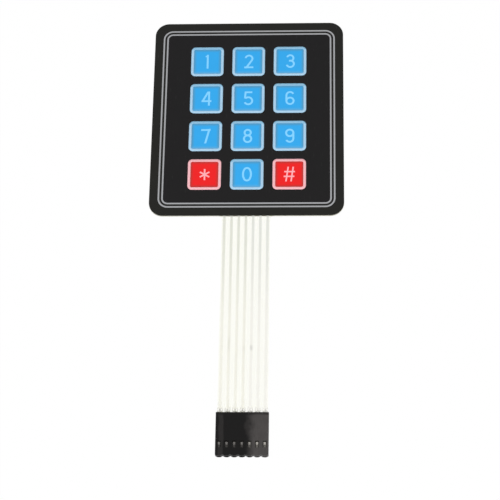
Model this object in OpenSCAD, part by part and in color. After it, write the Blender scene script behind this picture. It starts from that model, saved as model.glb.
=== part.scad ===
// Membrane keypad: a laminated panel with twelve embossed keys, a flat tail
// with seven printed traces, and a crimp housing with one contact per trace.
// The panel lies face up with its back on the plane z = 0, its centre over the
// origin, and the tail runs towards -Y. All sizes are in millimetres.

/* [Panel] */
// Width of the panel, across the key columns
panel_w = 69; // [66:0.5:80]
// Length of the panel, along the key columns
panel_l = 77; // [76:0.5:90]
// Radius of the panel's corners
corner_r = 5; // [3:0.5:8]

/* [Layers] */
// Thickness of the printed and embossed overlay film
overlay_t = 0.2; // [0.15:0.05:0.3]
// Thickness of the adhesive under the overlay
overlay_glue_t = 0.1; // [0.05:0.05:0.2]
// Thickness of each of the two circuit films
film_t = 0.125; // [0.1:0.025:0.175]
// Thickness of the spacer between the circuit films
spacer_t = 0.15; // [0.1:0.05:0.25]
// Thickness of the adhesive on the panel's back
rear_glue_t = 0.1; // [0.05:0.05:0.2]
// Thickness of the paper liner over the rear adhesive
liner_t = 0.1; // [0.05:0.05:0.2]
// Thickness of the printed silver ink
ink_t = 0.02; // [0.01:0.005:0.03]
// Gap between the ink and the relief for it in the spacer
relief_gap = 0.05; // [0.02:0.01:0.1]

/* [Keys] */
// Distance between the centres of neighbouring keys
key_pitch = 15.1; // [14:0.1:16]
// Outside width of a key's embossed rim
key_w = 11.9; // [11:0.1:12.6]
// Outside corner radius of a key's rim
key_corner_r = 1.6; // [1.5:0.1:3]
// Width of the rim
rim_w = 1; // [0.8:0.1:1.2]
// Height of the rim above the overlay
rim_h = 0.3; // [0.15:0.05:0.4]
// Gap between a rim and the window round it in the overlay adhesive
window_gap = 0.3; // [0.1:0.1:0.5]

/* [Print] */
// Distance from the panel's edge to the outer border line
border_in = 3.05; // [2:0.05:4]
// Width of each of the two border lines
border_w = 0.55; // [0.3:0.05:0.8]
// Gap between the border lines
border_gap = 0.75; // [0.4:0.05:1]
// Outside corner radius of the outer border line
border_r = 3.5; // [3:0.1:5]

/* [Switches] */
// Diameter of the printed pad under each key
pad_d = 6.5; // [5:0.5:8]
// Gap between a pad and the edge of the spacer hole round it
hole_gap = 1; // [0.5:0.1:1.5]
// Width of the air channels between the spacer holes
vent_w = 1; // [0.6:0.1:1.5]

/* [Traces] */
// Width of the traces inside the panel
trace_w = 0.8; // [0.5:0.1:1]
// Distance between neighbouring lanes of traces
lane_pitch = 1.6; // [1.4:0.1:1.8]
// Distance from the panel's edge to the first lane
lane_margin = 2.5; // [2:0.1:3.5]
// Length cut off each corner where a trace turns
turn_cut = 0.5; // [0.3:0.1:0.6]

/* [Tail] */
// Distance between neighbouring tail traces and pins
pin_pitch = 2.54; // [2.5:0.01:2.6]
// Length of the tail from the panel to the housing
tail_l = 72.2; // [45:0.1:150]
// Distance from the outermost trace's centre to the tail's edge
tail_edge = 0.88; // [0.8:0.02:0.9]
// Width of the tail's traces
tail_trace_w = 0.95; // [0.7:0.05:1.1]
// Radius of the inner corners where the tail leaves the panel
tail_root_r = 1.5; // [0.5:0.5:3]
// Length of the tail that stays level next to the panel
tail_level_l = 10; // [5:1:15]

/* [Housing] */
// Length of the housing
housing_l = 14.9; // [14:0.1:18]
// Thickness of the housing
housing_t = 2.5; // [2.4:0.1:3.5]
// Thickness of the wall at the mating face
face_t = 0.8; // [0.6:0.1:1.2]
// Radius of the housing's long edges
edge_r = 0.25; // [0.1:0.05:0.3]
// Width of a pin entry
entry_w = 0.9; // [0.7:0.05:1]
// Width of the lead-in at the mouth of a pin entry
lead_in_w = 1.5; // [1.2:0.1:1.7]
// Depth of the lead-in
lead_in_d = 0.4; // [0.2:0.05:0.5]
// Width of the notches between positions on the mating edge
notch_w = 1.9; // [1.5:0.1:2.2]
// Depth of those notches
notch_d = 0.45; // [0.3:0.05:0.6]
// Distance from the mating face to the middle of a window
window_y = 3.9; // [3.6:0.1:5]
// Length of a window
window_l = 2.3; // [1.8:0.1:2.5]
// Width of a window
window_w = 1.4; // [1.2:0.05:1.6]
// Gap between the tail's edges and the slot for it
slot_gap = 0.1; // [0.05:0.01:0.12]
// Flare of the slot's upper and lower lips
slot_flare = 0.15; // [0.05:0.05:0.2]
// Length of the slot beyond the end of the tail
slot_room = 0.8; // [0.6:0.1:1.5]

/* [Contacts] */
// Thickness of the contact strip
sheet_t = 0.2; // [0.15:0.01:0.22]
// Outside width of a contact's spring box
box_w = 1.7; // [1.6:0.02:1.9]
// Outside height of the spring box
box_h = 1.6; // [1.4:0.05:1.7]
// Length of the spring box
box_l = 6; // [5.8:0.1:7]
// Gap between a contact and the walls of its cavity
fit_gap = 0.06; // [0.03:0.01:0.1]
// Thickness of the two spring leaves in the box
leaf_t = 0.12; // [0.08:0.01:0.15]
// Gap that the leaves leave for a pin before it enters
pin_gap = 0.4; // [0.3:0.05:0.5]
// Width of the locking tongue
tongue_w = 0.75; // [0.6:0.05:0.9]
// Clearance cut in the box's roof on each side of the tongue
tongue_slot = 0.2; // [0.1:0.05:0.2]
// Length of the locking tongue
tongue_l = 2; // [1.6:0.1:2.2]
// Height of the tongue's tip above the box
tongue_rise = 0.3; // [0.15:0.05:0.35]
// Gap between the tongue's tip and the window's edge
tongue_gap = 0.4; // [0.1:0.05:0.5]
// Outer radius of the strip's bends
bend_r = 0.15; // [0.1:0.01:0.25]
// Width of the neck between box and crimp
neck_w = 1.2; // [1:0.05:1.4]
// Height of the neck's side walls
neck_h = 0.7; // [0.5:0.05:1]
// Outside width of the crimp
crimp_w = 1.5; // [1.4:0.05:1.6]
// Length of the tail inside the housing
film_in = 4; // [3.6:0.1:5]
// Distance from the housing to the first row of tines, outside it
tine_out = 1.2; // [0.8:0.1:1.5]
// Distance between the rows of tines
tine_pitch = 1.9; // [1.5:0.05:2]
// Length of a tine along the strip
tine_l = 0.8; // [0.6:0.05:1]
// Reach of a folded tine over the film
tine_fold = 0.5; // [0.4:0.02:0.52]
// Length of the crimp's base behind the first row of tines
crimp_lip = 0.3; // [0.2:0.05:0.5]
// Gap between a tine and the slit that it goes through
slit_gap = 0.04; // [0.02:0.01:0.05]
// Ink left round the tines at the crimp
crimp_pad_margin = 0.2; // [0.1:0.05:0.25]

/* [Hidden] */
$fn = 64;
eps = 0.05;
columns = 3;
rows = 4;
pins = rows + columns;
tine_rows = 3;
rim_steps = 6;
leaf_steps = 8;
leaf_sweep = 150;
rise_steps = 16;

liner_z = 0;
rear_glue_z = liner_z + liner_t;
lower_film_z = rear_glue_z + rear_glue_t;
spacer_z = lower_film_z + film_t;
upper_film_z = spacer_z + spacer_t;
overlay_glue_z = upper_film_z + film_t;
overlay_z = overlay_glue_z + overlay_glue_t;
stack_t = 2 * film_t + spacer_t;

hole_d = pad_d + 2 * hole_gap;
rim_line_r = key_corner_r - rim_w / 2;
rim_line = key_w / 2 - rim_w / 2;

tail_w = (pins - 1) * pin_pitch + 2 * tail_edge;
panel_y = -panel_l / 2;
root_y = panel_y - tail_root_r;
level_y = panel_y - tail_level_l;
housing_y = panel_y - tail_l;
face_y = housing_y - housing_l;
film_end_y = housing_y - film_in;
crimp_y = housing_y + tine_out + tine_l / 2 + crimp_lip;
pad_y = crimp_y + crimp_pad_margin;
rise_end_y = pad_y + crimp_pad_margin;

housing_w = pins * pin_pitch;
cavity_w = box_w + 2 * fit_gap;
cavity_h = box_h + 2 * fit_gap;
contact_z = housing_t / 2;
strip_z = contact_z - box_h / 2;
box_top_z = contact_z + box_h / 2;
rise_h = strip_z + sheet_t - lower_film_z;
slot_end_y = film_end_y - slot_room;
box_y = face_y + face_t + fit_gap;
window_mid_y = face_y + window_y;
tongue_tip_y = window_mid_y + window_l / 2 - tongue_gap;
crimp_pad_w = crimp_w + 2 * crimp_pad_margin;

// Places of the keys, pins and lanes
function column_x(c) = (c - (columns + 1) / 2) * key_pitch;
function row_y(r) = ((rows + 1) / 2 - r) * key_pitch;
function pin_x(p) = (p - (pins + 1) / 2) * pin_pitch;
function lane_x(n) = -panel_w / 2 + lane_margin + (n - 1) * lane_pitch;
function lane_y(n) = panel_y + lane_margin + (n - 1) * lane_pitch;
function tine_y(k) = housing_y + tine_out - (k - 1) * tine_pitch;

// A line of points given a width, with mitred joints
function heading(p, i) = (p[i + 1] - p[i]) / norm(p[i + 1] - p[i]);
function side(p, i) = [-heading(p, i)[1], heading(p, i)[0]];
function joint(p, i) = side(p, max(i - 1, 0)) + side(p, min(i, len(p) - 2));
function shifted(p, i, d) = p[i] + joint(p, i) * 2 * d / (joint(p, i) * joint(p, i));
function band(p, w) = concat(
    [for (i = [0:len(p) - 1]) shifted(p, i, w / 2)],
    [for (i = [len(p) - 1:-1:0]) shifted(p, i, -w / 2)]
);

// The same line with a short slanted stretch at each corner
function turned(p) = [
    for (i = [0:len(p) - 1]) each i == 0 || i == len(p) - 1
        ? [p[i]]
        : [p[i] - turn_cut * heading(p, i - 1), p[i] + turn_cut * heading(p, i)]
];

// Each row's trace turns down the left margin and along the bottom to its pin
function row_route(r) = turned([
    [column_x(columns), row_y(r)],
    [lane_x(r), row_y(r)],
    [lane_x(r), lane_y(r)],
    [pin_x(r), lane_y(r)],
    [pin_x(r), root_y]
]);

// Each column's trace runs down under its keys and along the bottom to its pin
function column_route(c) = turned([
    [column_x(c), row_y(1)],
    [column_x(c), lane_y(c)],
    [pin_x(rows + c), lane_y(c)],
    [pin_x(rows + c), root_y]
]);

// The tail's rise from the panel's layers to the contacts, level at both ends
function rise_share(y) = min(max((level_y - y) / (level_y - rise_end_y), 0), 1);
function rise(y) = rise_h * rise_share(y) ^ 2 * (3 - 2 * rise_share(y));
rise_stations = [for (i = [0:rise_steps]) level_y + (rise_end_y - level_y) * i / rise_steps];

// Side view of a tail layer from y0 down to y1, z above its height in the panel
function tail_side(y0, y1, z, t) =
    let (ys = concat([y0], [for (y = rise_stations) if (y < y0 && y > y1) y], [y1]))
    concat(
        [for (y = ys) [y, z + rise(y)]],
        [for (i = [len(ys) - 1:-1:0]) [ys[i], z + t + rise(ys[i])]]
    );

// A strip of width w along the tail, centred on x
module tail_strip(x, w, y0, y1, z, t) {
    translate([x - w / 2, 0, 0])
        rotate([90, 0, 90])
            linear_extrude(w)
                polygon(tail_side(y0, y1, z, t));
}

module rounded_rectangle(w, l, r) {
    square([w - 2 * r, l], center = true);
    square([w, l - 2 * r], center = true);
    for (x = [-1, 1], y = [-1, 1])
        translate([x * (w / 2 - r), y * (l / 2 - r)])
            circle(r);
}

module panel_sheet(z, t) {
    translate([0, 0, z])
        linear_extrude(t)
            rounded_rectangle(panel_w, panel_l, corner_r);
}

// The two outer keys of the last row are printed in red, the others in blue
function in_red(c, r) = r == rows && (c == 1 || c == columns);

module at_keys(red = undef) {
    for (c = [1:columns], r = [1:rows])
        if (is_undef(red) || red == in_red(c, r))
            translate([column_x(c), row_y(r), 0])
                children();
}

// The root of the tail, with a hollow round corner on each side
module tail_root() {
    translate([-tail_w / 2, root_y])
        square([tail_w, tail_root_r + eps]);
    for (side_x = [-1, 1])
        translate([side_x * tail_w / 2, panel_y])
            mirror([side_x < 0 ? 1 : 0, 0])
                difference() {
                    translate([-eps, -tail_root_r])
                        square([tail_root_r + eps, tail_root_r + eps]);
                    translate([tail_root_r, -tail_root_r])
                        circle(tail_root_r);
                }
}

// A circuit layer: the panel's outline with the tail cut in one with it
module circuit_sheet(z, t) {
    translate([0, 0, z])
        linear_extrude(t) {
            rounded_rectangle(panel_w, panel_l, corner_r);
            tail_root();
        }
    tail_strip(0, tail_w, root_y + eps, film_end_y, z, t);
}

// The slits that the tines of every contact go through
module crimp_slits() {
    for (p = [1:pins], k = [1:tine_rows], side_x = [-1, 1])
        translate([pin_x(p) + side_x * (crimp_w - sheet_t) / 2, tine_y(k), contact_z])
            cube([sheet_t + 2 * slit_gap, tine_l + 2 * slit_gap, housing_t], center = true);
}

// The arched section of a rim, which dips a little into the film below it
function rim_section() = concat(
    [[-rim_w / 2, -eps]],
    [for (i = [0:rim_steps])
        [-rim_w / 2 * cos(180 * i / rim_steps), rim_h * sin(180 * i / rim_steps)]],
    [[rim_w / 2, -eps]]
);

module key_rim() {
    straight_l = 2 * (rim_line - rim_line_r);
    for (k = [0:3])
        rotate([0, 0, 90 * k]) {
            translate([rim_line, straight_l / 2, 0])
                rotate([90, 0, 0])
                    linear_extrude(straight_l)
                        polygon(rim_section());
            translate([rim_line - rim_line_r, rim_line - rim_line_r, 0])
                rotate_extrude(angle = 90)
                    translate([rim_line_r, 0])
                        polygon(rim_section());
        }
}

module key_field() {
    rounded_rectangle(key_w - 2 * rim_w, key_w - 2 * rim_w, key_corner_r - rim_w);
}

// A line of the border, given its distance inside the outer one
module border_line(d) {
    w = panel_w - 2 * border_in - 2 * d;
    l = panel_l - 2 * border_in - 2 * d;
    r = border_r - d;
    difference() {
        rounded_rectangle(w, l, r);
        rounded_rectangle(w - 2 * border_w, l - 2 * border_w, r - border_w);
    }
}

module border_lines() {
    border_line(0);
    border_line(border_w + border_gap);
}

module overlay_film() {
    linear_extrude(overlay_t)
        children();
}

// The overlay in its printed colours, each of them a share of the one film
module graphic_overlay() {
    translate([0, 0, overlay_z])
        difference() {
            union() {
                color([0.13, 0.13, 0.14])
                    overlay_film()
                        difference() {
                            rounded_rectangle(panel_w, panel_l, corner_r);
                            border_lines();
                            at_keys() key_field();
                        }
                color([0.75, 0.76, 0.78]) overlay_film() border_lines();
                color([0.24, 0.65, 0.92]) overlay_film() at_keys(red = false) key_field();
                color([0.94, 0.15, 0.16]) overlay_film() at_keys(red = true) key_field();
                color([0.88, 0.92, 0.96])
                    translate([0, 0, overlay_t])
                        at_keys() key_rim();
            }
            at_keys() key_rim();
        }
}

module overlay_adhesive() {
    window = key_w + 2 * window_gap;
    color([0.85, 0.86, 0.84])
        translate([0, 0, overlay_glue_z])
            linear_extrude(overlay_glue_t)
                difference() {
                    rounded_rectangle(panel_w, panel_l, corner_r);
                    at_keys() rounded_rectangle(window, window, key_corner_r + window_gap);
                }
}

module upper_circuit_film() {
    color([0.93, 0.93, 0.89])
        difference() {
            circuit_sheet(upper_film_z, film_t);
            crimp_slits();
        }
}

module lower_circuit_film() {
    color([0.93, 0.93, 0.89])
        difference() {
            circuit_sheet(lower_film_z, film_t);
            crimp_slits();
        }
}

// A printed trace from its key pads to the end of the tail, grown on each side
module trace_shape(route, pad_places, pin, z, t, grow) {
    translate([0, 0, z])
        linear_extrude(t) {
            polygon(band(route, trace_w + 2 * grow));
            for (place = pad_places)
                translate(place)
                    circle(d = pad_d + 2 * grow);
        }
    tail_strip(pin_x(pin), tail_trace_w + 2 * grow, root_y + eps, film_end_y, z, t);
    tail_strip(pin_x(pin), crimp_pad_w + 2 * grow, pad_y + grow, film_end_y, z, t);
}

module row_shape(r, z, t, grow = 0) {
    trace_shape(row_route(r), [for (c = [1:columns]) [column_x(c), row_y(r)]], r, z, t, grow);
}

module column_shape(c, z, t, grow = 0) {
    trace_shape(column_route(c), [for (r = [1:rows]) [column_x(c), row_y(r)]], rows + c, z, t, grow);
}

module row_trace(r) {
    color([0.72, 0.73, 0.74])
        difference() {
            row_shape(r, spacer_z, ink_t);
            crimp_slits();
        }
}

module column_trace(c) {
    color([0.72, 0.73, 0.74])
        difference() {
            column_shape(c, upper_film_z - ink_t, ink_t);
            crimp_slits();
        }
}

// Holes under the keys, joined down each column and along the last row by air
// channels, which cut no island out of the sheet
module spacer_openings() {
    at_keys() circle(d = hole_d);
    translate([0, row_y(rows)])
        square([(columns - 1) * key_pitch, vent_w], center = true);
    for (c = [1:columns])
        translate([column_x(c), 0])
            square([vent_w, (rows - 1) * key_pitch], center = true);
}

module circuit_spacer() {
    color([0.9, 0.9, 0.86])
        difference() {
            circuit_sheet(spacer_z, spacer_t);
            translate([0, 0, spacer_z - eps])
                linear_extrude(spacer_t + 2 * eps)
                    spacer_openings();
            for (r = [1:rows])
                row_shape(r, spacer_z - eps, ink_t + eps, relief_gap);
            for (c = [1:columns])
                column_shape(c, upper_film_z - ink_t, ink_t + eps, relief_gap);
            crimp_slits();
        }
}

module rear_adhesive() {
    color([0.86, 0.85, 0.8]) panel_sheet(rear_glue_z, rear_glue_t);
}

module release_liner() {
    color([0.94, 0.93, 0.88]) panel_sheet(liner_z, liner_t);
}

// A square mouth that narrows to the pin entry, then the entry itself
module pin_entry() {
    mouth = [
        [-lead_in_w / 2 - (lead_in_w - entry_w) / 2, -lead_in_d],
        [lead_in_w / 2 + (lead_in_w - entry_w) / 2, -lead_in_d],
        [entry_w / 2, lead_in_d],
        [-entry_w / 2, lead_in_d]
    ];
    translate([0, face_y, contact_z]) {
        intersection() {
            translate([0, 0, -housing_t / 2])
                linear_extrude(housing_t)
                    polygon(mouth);
            translate([-pin_pitch / 2, 0, 0])
                rotate([90, 0, 90])
                    linear_extrude(pin_pitch)
                        polygon([for (m = mouth) [m[1], m[0]]]);
        }
        translate([-entry_w / 2, lead_in_d / 2, -entry_w / 2])
            cube([entry_w, face_t, entry_w]);
    }
}

// The gap between the rounded mating ends of two neighbouring positions
module notch() {
    half = pin_pitch / 2;
    flat = (pin_pitch - notch_w) / 2;
    round_y = (half ^ 2 - flat ^ 2 + notch_d ^ 2) / (2 * notch_d);
    cut_w = (notch_w + pin_pitch) / 2;
    difference() {
        translate([-cut_w / 2, -notch_d])
            square([cut_w, 3 * notch_d]);
        for (side_x = [-1, 1])
            translate([side_x * half, round_y])
                circle(norm([flat, round_y]));
    }
}

// The wide slot at the rear, with flared lips for the film and the crimps
module film_slot() {
    slot_w = tail_w + 2 * slot_gap;
    half_h = cavity_h / 2;
    translate([-slot_w / 2, 0, contact_z])
        rotate([90, 0, 90])
            linear_extrude(slot_w)
                polygon([
                    [slot_end_y, -half_h],
                    [housing_y - slot_flare, -half_h],
                    [housing_y + slot_flare, -half_h - 2 * slot_flare],
                    [housing_y + slot_flare, half_h + 2 * slot_flare],
                    [housing_y - slot_flare, half_h],
                    [slot_end_y, half_h]
                ]);
}

module connector_housing() {
    color([0.09, 0.09, 0.09])
        difference() {
            translate([0, housing_y, contact_z])
                rotate([90, 0, 0])
                    linear_extrude(housing_l)
                        rounded_rectangle(housing_w, housing_t, edge_r);
            film_slot();
            for (p = [1:pins])
                translate([pin_x(p), 0, 0]) {
                    translate([-cavity_w / 2, face_y + face_t, contact_z - cavity_h / 2])
                        cube([cavity_w, slot_end_y + eps - face_y - face_t, cavity_h]);
                    translate([-window_w / 2, window_mid_y - window_l / 2, contact_z])
                        cube([window_w, window_l, housing_t]);
                    pin_entry();
                }
            for (p = [0:pins])
                translate([pin_x(p) + pin_pitch / 2, face_y, -eps])
                    linear_extrude(housing_t + 2 * eps)
                        notch();
        }
}

// The section of a tube folded from the strip, with its base on strip_z
module folded_tube(w, h) {
    translate([0, h / 2])
        difference() {
            rounded_rectangle(w, h, bend_r);
            square([w - 2 * sheet_t, h - 2 * sheet_t], center = true);
        }
}

// A section of the strip from y0 up to y1
module along_strip(y0, y1) {
    translate([0, y1, strip_z])
        rotate([90, 0, 0])
            linear_extrude(y1 - y0)
                children();
}

// The spring box: a folded tube, open in its roof round the locking tongue
module spring_box() {
    difference() {
        along_strip(box_y, box_y + box_l) folded_tube(box_w, box_h);
        translate([-tongue_w / 2 - tongue_slot, tongue_tip_y - tongue_l + sheet_t, contact_z])
            cube([tongue_w + 2 * tongue_slot, tongue_l - sheet_t + tongue_gap, box_h]);
    }
}

// A leaf bowed in from one wall of the box, fixed at its rear end
module spring_leaf(side_x) {
    wall_x = box_w / 2 - sheet_t / 2;
    bow = wall_x - pin_gap / 2 - leaf_t / 2;
    leaf_l = box_l - 2 * sheet_t;
    route = [for (i = [0:leaf_steps])
        [side_x * (wall_x - bow * sin(leaf_sweep * i / leaf_steps)), box_y + box_l - sheet_t - leaf_l * i / leaf_steps]];
    translate([0, 0, contact_z - box_h / 4])
        linear_extrude(box_h / 2)
            polygon(band(route, leaf_t));
}

// The locking tongue, bent up out of the roof towards the rear
module locking_tongue() {
    root = tongue_tip_y - tongue_l;
    translate([-tongue_w / 2, 0, 0])
        rotate([90, 0, 90])
            linear_extrude(tongue_w)
                polygon([
                    [root, box_top_z - sheet_t],
                    [root, box_top_z],
                    [tongue_tip_y, box_top_z + tongue_rise],
                    [tongue_tip_y, box_top_z + tongue_rise - sheet_t],
                    [root + 2 * sheet_t, box_top_z - sheet_t]
                ]);
}

// The neck between box and crimp: a folded channel, open at the top
module neck(y0, y1) {
    along_strip(y0, y1)
        difference() {
            folded_tube(neck_w, 2 * neck_h);
            translate([-neck_w / 2, neck_h])
                square([neck_w, neck_h]);
        }
}

// A pair of tines that go up through the film and fold down onto it
module tine_pair(y) {
    crimp_h = stack_t + 2 * sheet_t;
    opening = crimp_w - 2 * tine_fold;
    along_strip(y - tine_l / 2, y + tine_l / 2)
        difference() {
            folded_tube(crimp_w, crimp_h);
            translate([-opening / 2, crimp_h / 2])
                square([opening, crimp_h]);
        }
}

module contact(p) {
    base_y = film_end_y - sheet_t;
    color([0.86, 0.84, 0.78])
        translate([pin_x(p), 0, 0]) {
            spring_box();
            spring_leaf(-1);
            spring_leaf(1);
            locking_tongue();
            neck(box_y + box_l - sheet_t, base_y);
            translate([-crimp_w / 2 + bend_r, base_y - sheet_t, strip_z])
                cube([crimp_w - 2 * bend_r, crimp_y - base_y + sheet_t, sheet_t]);
            for (k = [1:tine_rows])
                tine_pair(tine_y(k));
        }
}

graphic_overlay();
overlay_adhesive();
upper_circuit_film();
for (c = [1:columns]) column_trace(c);
circuit_spacer();
for (r = [1:rows]) row_trace(r);
lower_circuit_film();
rear_adhesive();
release_liner();
connector_housing();
for (p = [1:pins]) contact(p);
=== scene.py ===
"""Looks of a flat membrane keypad with twelve keys, a clear tail and a pin socket.

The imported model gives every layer, trace and contact and the housing their form
and place. This script models the printed and embossed overlay and the legends
of the keys, gives every piece its finish, and sets up the camera, the floor and
the light. Sizes in the classes are millimetres, and the meshes are in metres.
"""

import logging
import math
from contextlib import contextmanager
from dataclasses import dataclass, field
from enum import Enum
from typing import Callable, Dict, Iterator, List, Sequence, Tuple, Union

import bmesh
import bpy
from bpy.types import Material, Node, NodeSocket, NodeTree, Object
from mathutils import Matrix, Vector


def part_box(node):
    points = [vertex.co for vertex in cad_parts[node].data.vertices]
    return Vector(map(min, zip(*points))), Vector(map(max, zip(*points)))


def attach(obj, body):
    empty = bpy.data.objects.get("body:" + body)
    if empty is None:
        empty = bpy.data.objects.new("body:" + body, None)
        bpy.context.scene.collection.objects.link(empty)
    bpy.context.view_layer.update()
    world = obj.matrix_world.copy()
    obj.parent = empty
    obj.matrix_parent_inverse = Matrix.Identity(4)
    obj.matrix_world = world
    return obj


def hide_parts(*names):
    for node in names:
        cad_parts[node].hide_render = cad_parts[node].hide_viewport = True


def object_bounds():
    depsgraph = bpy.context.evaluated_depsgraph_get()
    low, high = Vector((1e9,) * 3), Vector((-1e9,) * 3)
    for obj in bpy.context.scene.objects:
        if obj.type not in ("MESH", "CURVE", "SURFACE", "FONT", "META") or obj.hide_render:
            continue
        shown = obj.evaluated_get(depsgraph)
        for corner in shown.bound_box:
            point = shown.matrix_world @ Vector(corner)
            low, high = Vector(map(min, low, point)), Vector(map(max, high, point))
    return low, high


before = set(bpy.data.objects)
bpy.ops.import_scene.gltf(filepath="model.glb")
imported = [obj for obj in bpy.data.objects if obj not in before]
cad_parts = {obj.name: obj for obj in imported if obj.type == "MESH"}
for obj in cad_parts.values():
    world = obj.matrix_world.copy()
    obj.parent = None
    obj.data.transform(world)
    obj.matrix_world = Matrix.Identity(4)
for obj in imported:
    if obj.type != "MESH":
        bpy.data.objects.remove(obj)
cad_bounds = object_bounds()

MM = 0.001
BODY = "root"
MERGE_M = 1e-6
PEN_W = 0.7

Colour = Tuple[float, float, float, float]
GREY: Colour = (0.3, 0.3, 0.3, 1)
log = logging.getLogger("keypad")


def srgb(*channels: float) -> Colour:
    """Turns a screen colour into the linear one that a shader takes, by the sRGB curve.

    Args:
        channels: Red, green and blue, 0 to 255.

    Returns:
        The linear colour, with an alpha of 1.
    """
    shares = [value / 255 for value in channels]
    linear = [s / 12.92 if s <= 0.04045 else ((s + 0.055) / 1.055) ** 2.4 for s in shares]
    return (*linear, 1.0)


class Wire:
    """An output socket, on which Python's arithmetic adds Math nodes."""

    def __init__(self, graph: "Graph", socket: NodeSocket) -> None:
        """Wraps one output socket of a graph."""
        self.graph = graph
        self.socket = socket

    def math(self, operation: str, *values: "Value") -> "Wire":
        """Adds a Math node on these values, in order, and gives its result."""
        sockets = dict(enumerate(values))
        return self.graph.wire("ShaderNodeMath", {"operation": operation}, sockets)

    def __add__(self, other: "Value") -> "Wire":
        """Self plus other."""
        return self.math("ADD", self, other)

    def __radd__(self, other: "Value") -> "Wire":
        """Other plus self."""
        return self.math("ADD", other, self)

    def __sub__(self, other: "Value") -> "Wire":
        """Self minus other."""
        return self.math("SUBTRACT", self, other)

    def __rsub__(self, other: "Value") -> "Wire":
        """Other minus self."""
        return self.math("SUBTRACT", other, self)

    def __mul__(self, other: "Value") -> "Wire":
        """Self times other."""
        return self.math("MULTIPLY", self, other)

    def __rmul__(self, other: "Value") -> "Wire":
        """Other times self."""
        return self.math("MULTIPLY", other, self)

    def __truediv__(self, other: "Value") -> "Wire":
        """Self divided by other."""
        return self.math("DIVIDE", self, other)

    def __rtruediv__(self, other: "Value") -> "Wire":
        """Other divided by self."""
        return self.math("DIVIDE", other, self)

    def __abs__(self) -> "Wire":
        """The value without its sign."""
        return self.math("ABSOLUTE", self)

    def most(self, other: "Value") -> "Wire":
        """The larger of self and other."""
        return self.math("MAXIMUM", self, other)

    def wrapped(self, pitch: float) -> "Wire":
        """The value counted from the nearest multiple of a pitch."""
        return self.math("WRAP", self, pitch / 2, -pitch / 2)

    def ramp(self, span: "Span") -> "Wire":
        """A smooth step of the value.

        Args:
            span: Where the step is 0 and where it is 1, which may be lower.

        Returns:
            A value from 0 to 1.
        """
        low, high = sorted(span)
        step = self.graph.wire(
            "ShaderNodeMapRange",
            {"interpolation_type": "SMOOTHSTEP"},
            {"Value": self, "From Min": low, "From Max": high},
        )
        return step if low == span[0] else 1 - step


Value = Union[float, Wire]
Tint = Union[Colour, Wire]
Span = Tuple[float, float]


@dataclass(frozen=True)
class Noise:
    """A layer of noise, which a squeeze below 1 draws out along Y before its turn."""

    per_mm: float
    detail: float = 3.0
    squeeze_y: float = 1.0
    turn_z: float = 0.0


class Graph:
    """The node tree of a material or of the world, with the shader that it ends in."""

    MIX_FACTOR, MIX_A, MIX_B, MIX_RESULT = 0, 6, 7, 2

    def __init__(self, tree: NodeTree, shader: str = "Principled BSDF") -> None:
        """Takes a new tree and the name of the shader in it."""
        self.tree, self.shader = tree, tree.nodes[shader]
        self.places: Dict[Span, Wire] = {}

    def node(self, kind: str, settings: Dict[str, object], sockets: Dict) -> Node:
        """Adds a node.

        Args:
            kind: The node's type.
            settings: Its settings, which are set first.
            sockets: The values or wires of its input sockets, by name or number.

        Returns:
            The node.
        """
        made = self.tree.nodes.new(kind)
        for name, value in settings.items():
            setattr(made, name, value)
        for name, value in sockets.items():
            self.feed(made.inputs[name], value)
        return made

    def wire(
        self, kind: str, settings: Dict[str, object], sockets: Dict, output: Union[int, str] = 0
    ) -> Wire:
        """Adds a node and gives one of its outputs as a wire."""
        return Wire(self, self.node(kind, settings, sockets).outputs[output])

    def feed(self, socket: NodeSocket, value: object) -> None:
        """Links a wire to a socket, or sets the socket's own value.

        Args:
            socket: An input socket.
            value: A wire or a plain value.
        """
        if isinstance(value, Wire):
            self.tree.links.new(value.socket, socket)
        else:
            socket.default_value = value

    def set(self, **values: object) -> None:
        """Feeds the shader's sockets, given with _ for the spaces in their names."""
        for name, value in values.items():
            self.feed(self.shader.inputs[name.replace("_", " ")], value)

    def place(self, layer: Noise = Noise(1.0)) -> Wire:
        """Object coordinates in millimetres, made once for each squeeze and turn.

        Args:
            layer: Whose squeeze and turn they take.

        Returns:
            The coordinates as a vector.
        """
        key = layer.squeeze_y, layer.turn_z
        if key not in self.places:
            sockets = {
                "Vector": self.wire("ShaderNodeTexCoord", {}, {}, "Object"),
                "Scale": (1 / MM, layer.squeeze_y / MM, 1 / MM),
                "Rotation": (0, 0, math.radians(layer.turn_z)),
            }
            self.places[key] = self.wire("ShaderNodeMapping", {}, sockets)
        return self.places[key]

    def axes(self, vector: Wire) -> Tuple[Wire, Wire, Wire]:
        """The three parts of a vector."""
        split = self.node("ShaderNodeSeparateXYZ", {}, {0: vector})
        return tuple(Wire(self, output) for output in split.outputs)

    def noise(self, layer: Noise) -> Wire:
        """A layer of noise about 0, from -0.5 to 0.5."""
        sockets = {"Vector": self.place(layer), "Scale": layer.per_mm, "Detail": layer.detail}
        return self.wire("ShaderNodeTexNoise", {}, sockets) - 0.5

    def shade(self, colour: Tint, factor: Value) -> Wire:
        """A colour made lighter or darker by a factor."""
        sockets = {0: colour if isinstance(colour, Wire) else colour[:3], "Scale": factor}
        return self.wire("ShaderNodeVectorMath", {"operation": "SCALE"}, sockets)

    def blend(self, mask: Value, below: Tint, above: Tint) -> Wire:
        """One colour over another, by a mask."""
        sockets = {self.MIX_FACTOR: mask, self.MIX_A: below, self.MIX_B: above}
        return self.wire("ShaderNodeMix", {"data_type": "RGBA"}, sockets, self.MIX_RESULT)

    def bump(self, height: Wire, depth_mm: float) -> Wire:
        """A normal from a height, where 1 is as high as the depth."""
        return self.wire("ShaderNodeBump", {}, {"Height": height, "Distance": depth_mm * MM})


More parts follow.
